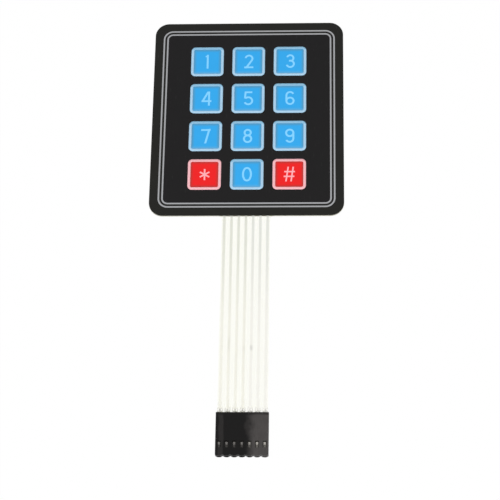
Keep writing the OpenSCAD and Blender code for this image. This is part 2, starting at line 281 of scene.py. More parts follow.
@dataclass(frozen=True)
class Finish:
    """What every finish has, and how it becomes a material."""

    name: str
    colour: Colour
    roughness: float = 0.5
    specular: float = 0.5

    def material(self) -> Material:
        """Makes the material with its nodes.

        Returns:
            The new material.
        """
        made = bpy.data.materials.new(self.name)
        made.use_nodes = True
        made.diffuse_color = self.colour
        graph = Graph(made.node_tree)
        graph.set(Specular_IOR_Level=self.specular)
        self.paint(graph)
        return made

    def paint(self, graph: Graph) -> None:
        """Feeds the shader. Each finish has its own way."""
        raise NotImplementedError


@dataclass(frozen=True)
class FilmPrint(Finish):
    """Ink screened on polyester film with a fine matt grain."""

    mottle: float = 0.08
    cloud: Noise = Noise(0.35)
    rough_by_cloud: float = 0.12
    grain: Noise = Noise(7.0, 2)
    rough_by_grain: float = 0.1
    grain_depth: float = 0.004
    wave: Noise = Noise(0.05, 1)
    wave_depth: float = 0.05
    rub: float = 0.0
    rub_colour: Colour = GREY
    streaks: Noise = Noise(2.2, 4, 0.12, 24)
    streak_span: Span = (0.12, 0.3)

    def paint(self, graph: Graph) -> None:
        """Mottled ink on the film's surface, rubbed in streaks.

        Args:
            graph: The material's graph.
        """
        ink = graph.shade(self.ink(graph), 1 + self.mottle * self.surface(graph))
        if self.rub > 0:
            rubbed = graph.noise(self.streaks).ramp(self.streak_span) * self.rub
            ink = graph.blend(rubbed, ink, self.rub_colour)
        graph.set(Base_Color=ink)

    def surface(self, graph: Graph) -> Wire:
        """Feeds the roughness, with a fine grain and the film's slight waves.

        Args:
            graph: The material's graph.

        Returns:
            How uneven the surface is.
        """
        cloud, grain = graph.noise(self.cloud), graph.noise(self.grain)
        relief = grain * (self.grain_depth / self.wave_depth) + graph.noise(self.wave)
        graph.set(
            Roughness=self.roughness + self.rough_by_cloud * cloud + self.rough_by_grain * grain,
            Normal=graph.bump(relief, self.wave_depth),
        )
        return cloud + grain

    def ink(self, graph: Graph) -> Tint:
        """The ink's colour at a place, before the mottle."""
        return self.colour


@dataclass(frozen=True)
class KeyPrint(FilmPrint):
    """Ink of the keys, with painted shade that differs between the parts of every key."""

    pitch: float = 15.1
    # Painted shade, and how far from the key's centre it sets in, in millimetres.
    painted_shade_colour: Colour = GREY
    painted_shade_span: Span = (0.0, 1.0)

    def across(self, graph: Graph) -> Tuple[Wire, Wire]:
        """X and Y from the nearest key's centre, in millimetres."""
        x, y, _ = graph.axes(graph.place())
        return x.wrapped(self.pitch), (y + self.pitch / 2).wrapped(self.pitch)


@dataclass(frozen=True)
class FieldPrint(KeyPrint):
    """The key's field, with painted shade towards its rim and its own painted shade at the lower
    side.
    """

    # Painted shade at the lower side, which may be lighter than at the other sides.
    lower_side_shade: Colour = GREY

    def ink(self, graph: Graph) -> Tint:
        """The colour, with the painted shade round the field.

        Args:
            graph: The material's graph.

        Returns:
            The ink's colour at a place.
        """
        x, y = self.across(graph)
        # Painted shade where the field meets its rim, with its own shade colour at the lower side.
        lower_side = tuple(-at for at in self.painted_shade_span)
        ink = graph.blend(abs(x).most(y).ramp(self.painted_shade_span), self.colour, self.painted_shade_colour)
        return graph.blend(y.ramp(lower_side), ink, self.lower_side_shade)


@dataclass(frozen=True)
class RimPrint(KeyPrint):
    """The key's rim, with painted shade along its upper side."""

    def ink(self, graph: Graph) -> Tint:
        """The colour, with painted shade along the upper side."""
        _, y = self.across(graph)
        # Painted shade on the rim's upper side.
        return graph.blend(y.ramp(self.painted_shade_span), self.colour, self.painted_shade_colour)


@dataclass(frozen=True)
class MetalPrint(FilmPrint):
    """Silver-coloured ink, with flakes that catch the light."""

    flakes: Noise = Noise(11.0, 1)
    flake_tint: float = 0.16
    metallic: float = 0.35
    metallic_by_flake: float = 0.4

    def paint(self, graph: Graph) -> None:
        """Brighter and duller flakes on the film's surface.

        Args:
            graph: The material's graph.
        """
        self.surface(graph)
        flakes = graph.noise(self.flakes)
        graph.set(
            Base_Color=graph.shade(self.colour, 1 + self.flake_tint * flakes),
            Metallic=self.metallic + flakes * self.metallic_by_flake,
        )


@dataclass(frozen=True)
class ClearFilm(Finish):
    """Nearly clear polyester, in which only the cut edges show."""

    face_alpha: float = 0.015
    edge_alpha: float = 0.09
    edge_colour: Colour = (0.8, 0.8, 0.75, 1)
    edge_span: Span = (0.6, 0.2)
    haze: Noise = Noise(0.12)
    alpha_by_haze: float = 0.004
    rough_by_haze: float = 0.1

    def paint(self, graph: Graph) -> None:
        """A faint tint on the faces and a stronger one on the cut edges.

        Args:
            graph: The material's graph.
        """
        normal = graph.wire("ShaderNodeNewGeometry", {}, {}, "Normal")
        edge = abs(graph.axes(normal)[2]).ramp(self.edge_span)
        haze = graph.noise(self.haze)
        face = self.face_alpha + haze * self.alpha_by_haze
        graph.set(
            Base_Color=graph.blend(edge, self.colour, self.edge_colour),
            Roughness=self.roughness + haze * self.rough_by_haze,
            Alpha=face + edge * (self.edge_alpha - self.face_alpha),
        )


@dataclass(frozen=True)
class Smudge:
    """A dull patch, by its centre, half its width and length, and its strength."""

    x: float
    y: float
    half_w: float
    half_l: float
    strength: float


@dataclass(frozen=True)
class SilverInk(Finish):
    """Conductive silver ink, which fades along the tail and has a few smudges."""

    far_colour: Colour = GREY
    fade_y: Span = (-45.0, -80.0)
    smudge_colour: Colour = GREY
    smudge_span: Span = (1.1, 0.3)
    smudges: Tuple[Smudge, ...] = ()
    cloud: Noise = Noise(0.3)
    cloud_tint: float = 0.05
    grain: Noise = Noise(9.0, 2)
    grain_tint: float = 0.06
    grain_depth: float = 0.004
    rough_by_grain: float = 0.15
    metallic: float = 0.15
    metallic_by_grain: float = 0.2

    def paint(self, graph: Graph) -> None:
        """The fade, the ink's fine grain and the smudges.

        Args:
            graph: The material's graph.
        """
        x, y, _ = graph.axes(graph.place())
        cloud, grain = graph.noise(self.cloud), graph.noise(self.grain)
        ink = graph.blend(y.ramp(self.fade_y), self.colour, self.far_colour)
        ink = graph.shade(ink, 1 + self.cloud_tint * cloud + self.grain_tint * grain)
        for smudge in self.smudges:
            across, along = (x - smudge.x) / smudge.half_w, (y - smudge.y) / smudge.half_l
            dulled = (abs(across).most(abs(along)) + cloud).ramp(self.smudge_span)
            ink = graph.blend(dulled * smudge.strength, ink, self.smudge_colour)
        graph.set(
            Base_Color=ink,
            Metallic=self.metallic + grain * self.metallic_by_grain,
            Roughness=self.roughness + self.rough_by_grain * grain,
            Normal=graph.bump(grain, self.grain_depth),
        )


@dataclass(frozen=True)
class UnevenSheet(Finish):
    """Glue or paper, uneven by layers of noise, of which the first also roughens it."""

    layers: Tuple[Noise, ...] = (Noise(0.8),)
    tint: float = 0.2
    rough: float = 0.2
    depth: float = 0.02

    def paint(self, graph: Graph) -> None:
        """An uneven tint, roughness and height.

        Args:
            graph: The material's graph.
        """
        first, *others = [graph.noise(layer) for layer in self.layers]
        uneven = sum(others, first)
        graph.set(
            Base_Color=graph.shade(self.colour, 1 + self.tint * uneven),
            Roughness=self.roughness + self.rough * first,
            Normal=graph.bump(uneven, self.depth),
        )


@dataclass(frozen=True)
class MouldedPlastic(Finish):
    """Black moulded plastic with painted sheen on two parts, and paler worn edges."""

    # The pale colour serves both the painted sheen and the worn edges.
    sheen_and_wear_colour: Colour = GREY
    right_sheen_x: Span = (0.6, 5.0)
    right_sheen_wander: float = 4.0
    right_sheen_share: float = 0.85
    left_sheen_x: float = -7.1
    left_sheen_span: Span = (1.08, 0.54)
    left_sheen_share: float = 0.22
    lip_y: Span = (-111.2, -111.9)
    lip_share: float = 0.35
    edge_x: Span = (8.64, 8.89)
    edge_z: Span = (1.9, 2.5)
    edge_share: float = 0.12
    cloud: Noise = Noise(0.28)
    sheen_by_cloud: float = 0.5
    grain: Noise = Noise(9.0)
    grain_tint: float = 0.4
    grain_depth: float = 0.01
    scratches: Noise = Noise(6.0, 3, 0.06, 12)
    scratch_weight: float = 0.6
    rough_by_noise: float = 0.15

    def paint(self, graph: Graph) -> None:
        """A spark-eroded grain, painted sheen, paler worn edges and fine scratches.

        Args:
            graph: The material's graph.
        """
        x, y, z = graph.axes(graph.place())
        cloud, grain = graph.noise(self.cloud), graph.noise(self.grain)
        scratch = graph.noise(self.scratches)
        # Painted sheen, as from a lamp's reflection: across the right part, and in a strip near the
        # left side.
        right_sheen = (x + self.right_sheen_wander * cloud).ramp(self.right_sheen_x) * self.right_sheen_share
        left_sheen = abs(x + cloud - self.left_sheen_x).ramp(self.left_sheen_span) * self.left_sheen_share
        # The painted sheen is weaker along the rear lip and broken up by the noise and the
        # scratches.
        lip = self.lip_share + (1 - self.lip_share) * (y + cloud).ramp(self.lip_y)
        sheen_breakup = 1 + self.scratch_weight * scratch + self.sheen_by_cloud * cloud
        # Paler worn edges, which show where they are stronger than the painted sheen.
        edge = abs(x).ramp(self.edge_x) * z.ramp(self.edge_z) * self.edge_share
        sheen_and_wear = (right_sheen.most(left_sheen) * lip * sheen_breakup).most(edge)
        black = graph.shade(self.colour, 1 + self.grain_tint * grain)
        graph.set(
            Base_Color=graph.blend(sheen_and_wear, black, self.sheen_and_wear_colour),
            Roughness=self.roughness + self.rough_by_noise * cloud + self.rough_by_noise * scratch,
            Normal=graph.bump(grain + self.scratch_weight * scratch, self.grain_depth),
        )


@dataclass(frozen=True)
class TinPlate(Finish):
    """Tin-plated strip with the grain of rolling along it, and painted shade inside the housing."""

    # Painted shade for the metal inside the housing, lighter towards the right, and where it
    # starts.
    housing_shade: Colour = GREY
    housing_half_shade: Colour = GREY
    housing_shade_y: Span = (-111.0, -113.0)
    half_shade_x: Span = (0.5, 4.0)
    tip_y: Span = (-122.0, -121.6)
    shaded: float = 0.32
    pitch: float = 2.54
    middle_span: Span = (0.45, 0.25)
    roll: Noise = Noise(14.0, 3, 0.05)
    roll_tint: float = 0.15
    roll_depth: float = 0.003
    patch: Noise = Noise(1.4, 2)
    patch_tint: float = 0.2

    def paint(self, graph: Graph) -> None:
        """Bright metal with a brushed grain, duller patches, and painted shade and highlights.

        Args:
            graph: The material's graph.
        """
        x, y, _ = graph.axes(graph.place())
        roll, patch = graph.noise(self.roll), graph.noise(self.patch)
        # Painted shade inside the housing, lighter towards the right where more light falls.
        housing_shade = graph.blend(x.ramp(self.half_shade_x), self.housing_shade, self.housing_half_shade)
        # Painted highlight down the middle of each contact as far as its window; elsewhere and
        # beyond it, deeper painted shade at the shaded share.
        middle = abs(x.wrapped(self.pitch)).ramp(self.middle_span)
        tip = y.ramp(self.tip_y) * middle * (1 - self.shaded) + self.shaded
        plate = graph.blend(y.ramp(self.housing_shade_y), self.colour, graph.shade(housing_shade, tip))
        graph.set(
            Base_Color=graph.shade(plate, 1 + self.roll_tint * roll + self.patch_tint * patch),
            Metallic=1.0,
            Roughness=self.roughness + self.patch_tint * patch + self.roll_tint * roll,
            Normal=graph.bump(roll, self.roll_depth),
        )


class Part(Enum):
    """The parts of a mesh that can be selected."""

    VERT = "VERT"
    EDGE = "EDGE"
    FACE = "FACE"


def alone(*objects: Object) -> None:
    """Selects these objects and no others, and makes the first one active.

    Args:
        objects: What is selected.
    """
    bpy.ops.object.select_all(action="DESELECT")
    for obj in objects:
        obj.select_set(True)
    bpy.context.view_layer.objects.active = objects[0]


def select_all() -> None:
    """Selects the whole mesh in edit mode."""
    bpy.ops.mesh.select_all(action="SELECT")


@contextmanager
def editing(obj: Object) -> Iterator[None]:
    """Edit mode on one object with all of it selected, and object mode after it.

    Args:
        obj: The object.

    Yields:
        Nothing, while edit mode lasts.
    """
    alone(obj)
    bpy.ops.object.mode_set(mode="EDIT")
    bpy.ops.mesh.select_mode(type=Part.FACE.value)
    select_all()
    yield
    bpy.ops.object.mode_set(mode="OBJECT")


def pick(obj: Object, part: Part, test: Callable[[object], bool]) -> None:
    """Selects the parts of a mesh in edit mode that pass a test.

    Args:
        obj: The object in edit mode.
        part: What is selected.
        test: Takes a vertex, edge or face of a BMesh.
    """
    bpy.ops.mesh.select_mode(type=part.value)
    bpy.ops.mesh.select_all(action="DESELECT")
    mesh = bmesh.from_edit_mesh(obj.data)
    parts = {Part.VERT: mesh.verts, Part.EDGE: mesh.edges, Part.FACE: mesh.faces}[part]
    for one in filter(test, parts):
        one.select_set(True)
    mesh.select_flush_mode()
    bmesh.update_edit_mesh(obj.data)


def settle(obj: Object) -> None:
    """Puts an object's place, turn and scale into its mesh."""
    alone(obj)
    bpy.ops.object.transform_apply(location=True, rotation=True, scale=True)


def plane(name: str, width: float, length: float, at: Sequence[float], turn: float = 0.0) -> Object:
    """Adds a plane at its size and place, with its object at the origin.

    Args:
        name: The object's name.
        width: Its size along X, in millimetres.
        length: Its size along Y, in millimetres.
        at: Its centre, in millimetres.
        turn: Its turn about Z, in degrees.

    Returns:
        The new object.
    """
    bpy.ops.mesh.primitive_plane_add(
        size=1, location=Vector(at) * MM, rotation=(0, 0, math.radians(turn))
    )
    obj = bpy.context.object
    obj.name = obj.data.name = name
    obj.scale = (width * MM, length * MM, 1)
    settle(obj)
    return obj


def joined(objects: Sequence[Object]) -> Object:
    """Joins objects.

    Args:
        objects: Two or more objects.

    Returns:
        The first, with the others in it.
    """
    alone(*objects)
    bpy.ops.object.join()
    return objects[0]


def apply_modifier(obj: Object, kind: str, **settings: object) -> None:
    """Adds a modifier and applies it.

    Args:
        obj: The object.
        kind: The modifier's type.
        settings: The modifier's settings.
    """
    alone(obj)
    modifier = obj.modifiers.new(kind.lower(), kind)
    for name, value in settings.items():
        setattr(modifier, name, value)
    bpy.ops.object.modifier_apply(modifier=modifier.name)


def put_in_frame(obj: Object, slot: str, *stands_for: str) -> None:
    """Rides a finished piece on its body and reports it.

    Args:
        obj: The piece.
        slot: The name of a material slot, which is not used.
        stands_for: The CAD nodes that it replaces.
    """
    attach(obj, BODY)
    if stands_for:
        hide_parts(*stands_for)
    log.info("made %s: %d faces", obj.name, len(obj.data.polygons))


class Ink(Enum):
    """Inks of the overlay, in the order of its material slots."""

    GROUND = 0
    MARGIN = 1
    LINE = 2
    BLUE = 3
    RED = 4
    RIM_BY_BLUE = 5
    RIM_BY_RED = 6


IN_RED = {Ink.BLUE: Ink.RED, Ink.RIM_BY_BLUE: Ink.RIM_BY_RED}


@dataclass
class KeyGrid:
    """Where the keys are and how large."""

    columns: int = 3
    rows: int = 4
    pitch: float = 15.1
    width: float = 11.9
    corner_r: float = 1.6
    rim_w: float = 1.0
    symbols: str = "123456789*0#"
    red_symbols: str = "*#"

    def places(self) -> Iterator[Tuple[str, float, float]]:
        """Goes through the keys, row by row.

        Yields:
            A key's symbol and the X and Y of its centre.
        """
        for index, symbol in enumerate(self.symbols):
            row, column = divmod(index, self.columns)
            x = (column - (self.columns - 1) / 2) * self.pitch
            y = ((self.rows - 1) / 2 - row) * self.pitch
            yield symbol, x, y

    def is_red(self, symbol: str) -> bool:
        """True for a key that is printed in red."""
        return symbol in self.red_symbols


@dataclass
class PrintedOverlay:
    """The overlay: one printed film with a raised rim pressed round each key."""

    grid: KeyGrid
    inks: Dict[Ink, Finish]
    corner_r: float = 5.0
    film_t: float = 0.2
    border_in: float = 3.05
    line_w: float = 0.55
    line_gap: float = 0.75
    border_r: float = 3.5
    corner_steps: int = 10
    rim_steps: int = 8
    smooth_deg: float = 40.0
    near: float = 0.01
    facing_down: float = -0.1
    low: Vector = field(init=False)
    high: Vector = field(init=False)
    materials: Dict[Ink, Material] = field(init=False)

    def __post_init__(self) -> None:
        """Reads the film's box from the frame, in millimetres, and mixes the inks."""
        self.low, self.high = (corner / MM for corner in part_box("graphic_overlay"))
        self.materials = {ink: self.inks[ink].material() for ink in Ink}

    @property
    def face_z(self) -> float:
        """Height of the film's flat face."""
        return self.low.z + self.film_t

    @property
    def rim_h(self) -> float:
        """Height of a rim above the flat face."""
        return self.high.z - self.face_z

    def build(self) -> None:
        """Models the film."""
        film = joined([self.border(), *self.keys()])
        film.name = film.data.name = "printed_overlay"
        self.fill_ground(film)
        self.thicken(film)
        put_in_frame(film, "overlay_print", "graphic_overlay")

    def sheet(self, name: str, width: float, length: float, corner_r: float) -> Object:
        """Makes a face with round corners, with a slot for each ink.

        Args:
            name: The object's name.
            width: Its size along X.
            length: Its size along Y.
            corner_r: The radius of its corners.

        Returns:
            The face, at the film's height.
        """
        obj = plane(name, width, length, (0, 0, self.face_z))
        for ink in Ink:
            obj.data.materials.append(self.materials[ink])
        with editing(obj):
            bpy.ops.mesh.bevel(
                affect="VERTICES", offset=corner_r * MM, segments=self.corner_steps, profile=0.5
            )
        return obj

    def ink_selection(self, obj: Object, ink: Ink) -> None:
        """Prints what is selected in edit mode."""
        obj.active_material_index = ink.value
        bpy.ops.object.material_slot_assign()

    def border(self) -> Object:
        """Makes the margin and the two lines.

        Returns:
            The border, open in the middle.
        """
        width, length = self.high.x - self.low.x, self.high.y - self.low.y
        outline = self.sheet("outline", width, length, self.corner_r)
        with editing(outline):
            bpy.ops.mesh.delete(type="ONLY_FACE")
        inset = 2 * self.border_in
        lines = self.sheet("lines", width - inset, length - inset, self.border_r)
        line = Ink.LINE, self.line_w
        with editing(lines):
            for ink, wide in (line, (Ink.MARGIN, self.line_gap), line):
                self.ink_selection(lines, ink)
                bpy.ops.mesh.inset(thickness=wide * MM)
            bpy.ops.mesh.delete(type="ONLY_FACE")
        border = joined([outline, lines])
        with editing(border):
            pick(border, Part.EDGE, lambda edge: edge.is_wire or edge.is_boundary and all(
                abs(self.beyond_lines(vert.co)) < self.near for vert in edge.verts
            ))
            bpy.ops.mesh.fill(use_beauty=True)
            self.ink_selection(border, Ink.MARGIN)
        return border

    def beyond_lines(self, point: Vector) -> float:
        """How far a point lies outside the outer line's outer edge, in millimetres.

        Args:
            point: The point, in metres.

        Returns:
            The distance, which is below 0 inside.
        """
        inset = self.border_in + self.border_r
        x, y = abs(point.x) / MM - self.high.x + inset, abs(point.y) / MM - self.high.y + inset
        return math.hypot(max(x, 0), max(y, 0)) + min(max(x, y), 0) - self.border_r

    def keys(self) -> List[Object]:
        """Models one key and copies it.

        Returns:
            The copies, in their inks.
        """
        blue = self.key()
        copies = []
        for symbol, x, y in self.grid.places():
            copy = blue.copy()
            copy.data = blue.data.copy()
            bpy.context.scene.collection.objects.link(copy)
            copy.location = Vector((x, y, 0)) * MM
            settle(copy)
            if self.grid.is_red(symbol):
                self.turn_red(copy)
            copies.append(copy)
        bpy.data.objects.remove(blue)
        return copies

    def key(self) -> Object:
        """Models a blue key: an arched rim, drawn by insets, round its flat field.

        Returns:
            The key, at the origin.
        """
        key = self.sheet("key", self.grid.width, self.grid.width, self.grid.corner_r)
        with editing(key):
            self.ink_selection(key, Ink.RIM_BY_BLUE)
            for step in range(self.rim_steps):
                across, up = self.arch(step)
                next_across, next_up = self.arch(step + 1)
                bpy.ops.mesh.inset(
                    thickness=(next_across - across) * MM, depth=(next_up - up) * MM
                )
            self.ink_selection(key, Ink.BLUE)
        return key

    def arch(self, step: int) -> Tuple[float, float]:
        """A point of the rim's section: how far in it is and how high."""
        angle = math.pi * step / self.rim_steps
        return self.grid.rim_w / 2 * (1 - math.cos(angle)), self.rim_h * math.sin(angle)

    def turn_red(self, key: Object) -> None:
        """Prints a blue key in the red inks."""
        for polygon in key.data.polygons:
            polygon.material_index = IN_RED[Ink(polygon.material_index)].value

    def fill_ground(self, film: Object) -> None:
        """Fills the ground between the border and the keys, and faces it all up.

        Args:
            film: The border and the keys.
        """
        with editing(film):
            pick(film, Part.EDGE, lambda edge: edge.is_boundary and all(
                self.beyond_lines(vert.co) < -self.line_w for vert in edge.verts
            ))
            bpy.ops.mesh.fill(use_beauty=True)
            self.ink_selection(film, Ink.GROUND)
            select_all()
            bpy.ops.mesh.remove_doubles(threshold=MERGE_M)
            bpy.ops.mesh.normals_make_consistent(inside=False)
            mesh = bmesh.from_edit_mesh(film.data)
            if sum(face.normal.z * face.calc_area() for face in mesh.faces) < 0:
                bpy.ops.mesh.flip_normals()

    def thicken(self, film: Object) -> None:
        """Gives the sheet the film's thickness, downwards, and a plain underside.

        Args:
            film: The printed sheet.
        """
        apply_modifier(
            film, "SOLIDIFY", thickness=self.film_t * MM, offset=-1.0, use_even_offset=True
        )
        with editing(film):
            pick(film, Part.FACE, lambda face: face.normal.z < self.facing_down)
            self.ink_selection(film, Ink.GROUND)
        alone(film)
        bpy.ops.object.shade_smooth_by_angle(angle=math.radians(self.smooth_deg))


@dataclass(frozen=True)
class Run:
    """A straight stretch of a stroke."""

    length: float


@dataclass(frozen=True)
class Turn:
    """A round stretch of a stroke, to the left where the sweep is above zero."""

    radius: float
    sweep: float


Move = Union[Run, Turn]


@dataclass(frozen=True)
class Stroke:
    """One pull of the pen from a start point, along a heading in degrees."""

    x: float
    y: float
    heading: float
    moves: Tuple[Move, ...]
    width: float = PEN_W


def towards(angle: float) -> Vector:
    """The unit vector at an angle in radians from +X."""
    return Vector((math.cos(angle), math.sin(angle)))


def line(x0: float, y0: float, x1: float, y1: float, width: float = PEN_W) -> Stroke:
    """A straight stroke between two points."""
    heading = math.degrees(math.atan2(y1 - y0, x1 - x0))
    return Stroke(x0, y0, heading, (Run(math.hypot(x1 - x0, y1 - y0)),), width)


def arc(x: float, y: float, radius: float, start: float, sweep: float, *more: Move) -> Stroke:
    """A stroke that starts round a centre and may go on.

    Args:
        x: The centre's X.
        y: The centre's Y.
        radius: The arc's radius.
        start: Where on the circle it starts, in degrees from +X.
        sweep: How far it goes, to the left where it is above zero.
        more: The stretches after the arc.

    Returns:
        The stroke.
    """
    angle = math.radians(start)
    at = x + radius * math.cos(angle), y + radius * math.sin(angle)
    return Stroke(*at, start + math.copysign(90, sweep), (Turn(radius, sweep), *more))


def oval(half_w: float, half_h: float, end_r: float) -> Stroke:
    """A closed oval of four arcs round the origin.

    Args:
        half_w: Half its width, at the stroke's middle.
        half_h: Half its height, at the stroke's middle.
        end_r: Radius of its upper and lower end.

    Returns:
        The stroke.
    """
    rise = half_h - end_r
    side_r = (half_w ** 2 + rise ** 2 - end_r ** 2) / (2 * (half_w - end_r))
    half_side = math.degrees(math.atan2(rise, side_r - half_w))
    ends = Turn(end_r, 180 - 2 * half_side)
    side = Turn(side_r, 2 * half_side)
    return arc(half_w - side_r, 0, side_r, -half_side, 2 * half_side, ends, side, ends)


@dataclass
class KeyLegends:
    """The plain digits and signs printed on the keys."""

    grid: KeyGrid
    inks: Tuple[Finish, Finish]
    face_z: float
    height: float = 5.7
    shift_x: float = 0.08
    shift_y: float = 0.02
    ink_t: float = 0.012
    degrees_per_step: float = 12.0
    bar_y: float = 2.44
    past: float = 3.0
    flag_w: float = 0.45
    waist_w: float = 0.66
    hash_w: float = 0.54
    spoke_w: float = 0.58

    def glyphs(self) -> Dict[str, Tuple[Stroke, ...]]:
        """The strokes of every symbol, about its own centre.

        Returns:
            Strokes by symbol.
        """
        spokes = self.spoke(30, 1.95), self.spoke(90, 2.15), self.spoke(150, 1.95)
        bar, past = self.bar_y, self.past
        return {
            "0": (oval(1.42, bar, 1.1),),
            "1": (line(0, -past, 0, past), line(-0.75, 1.95, 0, 2.55, self.flag_w)),
            "2": (arc(0, 1.15, 1.27, 170, -203.7, Run(4.5)), line(-1.68, -bar, 1.66, -bar)),
            "3": (
                arc(-0.02, 1.25, 1.18, 162, -242),
                arc(0, -1.12, 1.32, 95, -258),
                line(-0.5, 0.16, 0.2, 0.16, self.waist_w),
            ),
            "4": (
                line(0.86, -past, 0.86, past),
                line(-1.85, -1.05, 1.75, -1.05),
                line(-1.45, -1.05, 0.72, past),
            ),
            "5": (
                line(-1.3, bar, 1.42, bar),
                line(-1.0, 2.5, -1.2, -0.05),
                arc(0, -1.0, 1.42, 140, -295),
            ),
            "6": (arc(0, -1.12, 1.3, 180, 360), arc(0, 1.14, 1.3, 25, 155, Run(2.26))),
            "7": (line(-1.65, bar, 1.72, bar), line(1.35, past, -0.12, -past)),
            "8": (arc(0, 1.32, 1.12, 270, 360), arc(0, -1.13, 1.31, 90, 360)),
            "9": (arc(0, 1.12, 1.3, 0, 360), arc(0, -1.14, 1.3, 205, 155, Run(2.26))),
            "*": spokes,
            "#": (
                line(-1.25, -past, -0.45, past, self.hash_w),
                line(0.55, -past, 1.35, past, self.hash_w),
                line(-1.85, 0.95, 1.95, 0.95, self.hash_w),
                line(-2.05, -0.9, 1.75, -0.9, self.hash_w),
            ),
        }

    def spoke(self, angle: float, reach: float, y: float = -0.05) -> Stroke:
        """A stroke through the star's centre."""
        dx, dy = reach * math.cos(math.radians(angle)), reach * math.sin(math.radians(angle))
        return line(-dx, y - dy, dx, y + dy, self.spoke_w)

    def build(self) -> None:
        """Draws all the legends as one print."""
        glyphs = self.glyphs()
        materials = [ink.material() for ink in self.inks]
        printed = []
        for symbol, x, y in self.grid.places():
            glyph = self.merged([self.draw(stroke) for stroke in glyphs[symbol]])
            glyph.data.materials.append(materials[self.grid.is_red(symbol)])
            glyph.location = Vector((x + self.shift_x, y + self.shift_y, 0)) * MM
            settle(glyph)
            printed.append(glyph)
        legends = joined(printed)
        legends.name = legends.data.name = "key_legends"
        put_in_frame(legends, "overlay_print")

    def draw(self, stroke: Stroke) -> Object:
        """Draws one stroke as a thin solid.

        Args:
            stroke: The pull of the pen.

        Returns:
            The solid, cut off at the base line and at the cap line.
        """
        along = towards(math.radians(stroke.heading))
        start = Vector((stroke.x, stroke.y))
        centre = start - along * stroke.width / 2
        nib = plane("stroke", stroke.width, stroke.width, (*centre, self.face_z), stroke.heading)
        with editing(nib):
            ahead = start * MM
            pick(nib, Part.VERT, lambda v: (v.co.xy - ahead).dot(along) < -MERGE_M)
            bpy.ops.mesh.delete(type="VERT")
            select_all()
            self.pull(start, stroke.heading, stroke.moves)
            select_all()
            bpy.ops.mesh.remove_doubles(threshold=MERGE_M)
            for up in (1, -1):
                select_all()
                cut = 0, up * self.height / 2 * MM, 0
                bpy.ops.mesh.bisect(plane_co=cut, plane_no=(0, up, 0), clear_outer=True)
            bpy.ops.mesh.select_mode(type=Part.FACE.value)
            select_all()
            rise = 0, 0, self.ink_t * MM
            bpy.ops.mesh.extrude_region_move(TRANSFORM_OT_translate={"value": rise})
            select_all()
            bpy.ops.mesh.normals_make_consistent(inside=False)
        return nib

    def pull(self, start: Vector, heading: float, moves: Sequence[Move]) -> None:
        """Pulls the selected edge along the stretches of a stroke.

        Args:
            start: Where the edge's middle is.
            heading: Where the stroke sets out to, in degrees from +X.
            moves: The stretches.
        """
        at, angle = start.copy(), math.radians(heading)
        for move in moves:
            along = towards(angle)
            if isinstance(move, Run):
                step = along * move.length
                bpy.ops.mesh.extrude_region_move(
                    TRANSFORM_OT_translate={"value": (step.x * MM, step.y * MM, 0)}
                )
                at += step
                continue
            sweep = math.radians(move.sweep)
            side = math.copysign(1, sweep)
            centre = at + Vector((-along.y, along.x)) * move.radius * side
            bpy.ops.mesh.spin(
                steps=max(2, math.ceil(abs(move.sweep) / self.degrees_per_step)),
                angle=-sweep,
                center=(centre.x * MM, centre.y * MM, self.face_z * MM),
                axis=(0, 0, 1),
            )
            at = centre + Matrix.Rotation(sweep, 2) @ (at - centre)
            angle += sweep

    def merged(self, strokes: Sequence[Object]) -> Object:
        """Unites the strokes of one symbol.

        Args:
            strokes: Thin solids at one height.

        Returns:
            The first, with the others in it.
        """
        first, *others = strokes
        for other in others:
            apply_modifier(first, "BOOLEAN", operation="UNION", solver="EXACT", object=other)
            bpy.data.objects.remove(other)
        return first


@dataclass
class CircuitLayers:
    """The laminate under the overlay, with its traces and the tail."""

    film: Finish
    spacer: Finish
    ink: Finish
    glue: Finish
    liner: Finish
    ink_swell: float = 0.004
    spacer_swell: float = -0.002

    def dress(self) -> None:
        """Gives every layer and trace its finish."""
        traces = [name for name in sorted(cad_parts) if "trace" in name]
        dress(self.film, "lower_circuit_film", "upper_circuit_film")
        dress(self.ink, *traces)
        dress(self.spacer, "circuit_spacer")
        dress(self.glue, "overlay_adhesive", "rear_adhesive")
        dress(self.liner, "release_liner")
        swell(self.ink_swell, *traces)
        swell(self.spacer_swell, "circuit_spacer")


@dataclass
class TailSocket:
    """The moulded housing and its seven contacts."""

    plastic: Finish
    metal: Finish
    pins: int = 7

    def dress(self) -> None:
        """Gives the housing and the contacts their finishes."""
        dress(self.plastic, "connector_housing")
        dress(self.metal, *(f"contact_{pin + 1}" for pin in range(self.pins)))


def dress(finish: Finish, *names: str) -> None:
    """Gives CAD nodes one new material.

    Args:
        finish: What the material is made from.
        names: The nodes.
    """
    material = finish.material()
    for name in names:
        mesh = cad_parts[name].data
        mesh.materials.clear()
        mesh.materials.append(material)
        log.info("dressed %s in %s", name, material.name)


def swell(by: float, *names: str) -> None:
    """Moves the surface of CAD nodes outwards, so that no two surfaces coincide.

    Args:
        by: How far, in millimetres. Below 0 the surface moves inwards.
        names: The nodes.
    """
    for name in names:
        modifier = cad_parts[name].modifiers.new("swell", "DISPLACE")
        modifier.mid_level = 0
        modifier.strength = by * MM


